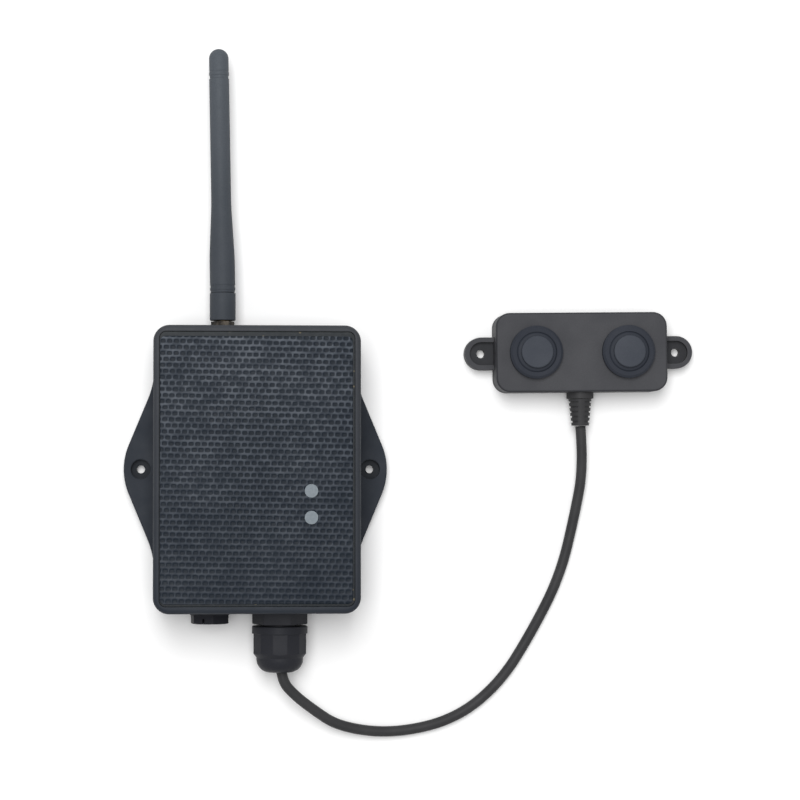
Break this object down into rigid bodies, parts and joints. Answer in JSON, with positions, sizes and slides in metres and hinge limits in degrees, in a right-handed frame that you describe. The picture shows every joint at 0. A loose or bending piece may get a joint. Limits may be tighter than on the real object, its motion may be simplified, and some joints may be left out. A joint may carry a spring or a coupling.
{
  "type": "ultrasonic distance sensor",
  "caption": "Solar-powered radio distance sensor: flat eared case with a whip antenna, vent plug and cable gland, and a wired ultrasonic head with two round transducers.",
  "frame": {"origin": "midway between the two wall holes, on the back face of the case", "axes": "+Z out of the solar panel, +Y up the case towards the antenna, +X to the right of the case, where the sensor head lies"},
  "size_m": [0.2276, 0.273, 0.035],
  "materials": {
    "case_plastic": "satin",
    "panel_film": "textured",
    "solar_cell": "gloss",
    "board_green": "satin",
    "adhesive": "matte",
    "light_pipe": "frosted",
    "seal_rubber": "matte",
    "stainless": "brushed",
    "nickel": "bright",
    "brass": "bright",
    "contact_gold": "bright",
    "copper": "bright",
    "white_insulator": "matte",
    "antenna_rubber": "satin",
    "black_nylon": "satin",
    "component_black": "matte",
    "shield_tin": "satin",
    "battery_wrap": "gloss",
    "terminal_blue": "matte",
    "button_white": "matte",
    "core_wires": "satin",
    "lead_jacket": "satin",
    "head_plastic": "satin",
    "transducer_ring": "matte",
    "transducer_skin": "satin",
    "piezo_ceramic": "matte"
  },
  "bodies": {
    "case": {"rear_case": "case_plastic", "case_gasket": "seal_rubber", "front_cover": "case_plastic", "case_screws": "stainless", "panel_adhesive": "adhesive", "solar_board": "board_green", "solar_cells": "solar_cell", "panel_film": "panel_film", "indicator_pipes": "light_pipe", "main_board": "board_green", "board_screws": "stainless", "battery_holder": "component_black", "battery_cell": "battery_wrap", "battery_contacts": "nickel", "radio_module": "board_green", "radio_shield": "shield_tin", "board_components": "component_black", "terminal_block": "terminal_blue", "lead_cores": "core_wires", "solar_plug": "white_insulator", "solar_wires": "core_wires", "antenna_jack": "brass", "jack_insulator": "white_insulator", "jack_contact": "contact_gold", "jack_seal": "seal_rubber", "jack_washer": "nickel", "jack_nut": "nickel", "antenna_pigtail": "component_black", "vent_plug": "black_nylon", "vent_membrane": "white_insulator", "vent_seal": "seal_rubber", "vent_locknut": "black_nylon", "gland_body": "black_nylon", "gland_oring": "seal_rubber", "gland_locknut": "black_nylon", "gland_seal_insert": "seal_rubber", "gland_claw": "black_nylon", "case_lead_end": "lead_jacket", "sensor_lead": "lead_jacket"},
    "antenna_whip": {"antenna_sheath": "antenna_rubber", "antenna_tip_cap": "antenna_rubber", "antenna_radiator": "copper", "antenna_ferrule": "brass", "antenna_pin": "contact_gold"},
    "antenna_collar": {"antenna_collar": "antenna_rubber", "coupling_nut": "brass"},
    "gland_clamp": {"gland_slip_ring": "black_nylon"},
    "gland_nut": {"gland_nut": "black_nylon"},
    "power_button": {"power_button": "button_white"},
    "sensor_head": {"head_shell": "head_plastic", "head_back_plate": "head_plastic", "head_screws": "stainless", "head_board": "board_green", "transducer_collar_left": "transducer_ring", "transducer_left": "transducer_skin", "transducer_collar_right": "transducer_ring", "transducer_right": "transducer_skin", "piezo_discs": "piezo_ceramic", "lead_boot": "lead_jacket", "head_lead_end": "lead_jacket"}
  },
  "joints": [
    {"name": "whip_pull", "type": "slide", "parent": "case", "child": "antenna_whip", "axis": [0, 1, 0], "range_m": [0, 0.0037]},
    {"name": "collar_turn", "type": "hinge", "parent": "antenna_whip", "child": "antenna_collar", "pos_m": [-0.01325, 0.0558, 0.0125], "axis": [0, 1, 0], "range_deg": [0, 1890]},
    {"name": "gland_release", "type": "slide", "parent": "case", "child": "gland_clamp", "axis": [0, -1, 0], "range_m": [0, 0.0026]},
    {"name": "gland_nut_turn", "type": "hinge", "parent": "gland_clamp", "child": "gland_nut", "pos_m": [0.0094, -0.0558, 0.0125], "axis": [0, -1, 0], "range_deg": [0, 630]},
    {"name": "button_press", "type": "slide", "parent": "case", "child": "power_button", "axis": [0, 0, -1], "range_m": [0, 0.00025], "stiffness_N_per_m": 6400},
    {"name": "lead_flex", "type": "hinge", "parent": "case", "child": "sensor_head", "pos_m": [0.028, -0.0995, 0], "axis": [0, 0, 1], "range_deg": [-40, 8], "deforming": ["sensor_lead"]}
  ],
  "couplings": [
    {"joint": "collar_turn", "follows": "whip_pull", "rad_per_m": 8904.7},
    {"joint": "gland_nut_turn", "follows": "gland_release", "rad_per_m": 4188.8}
  ]
}
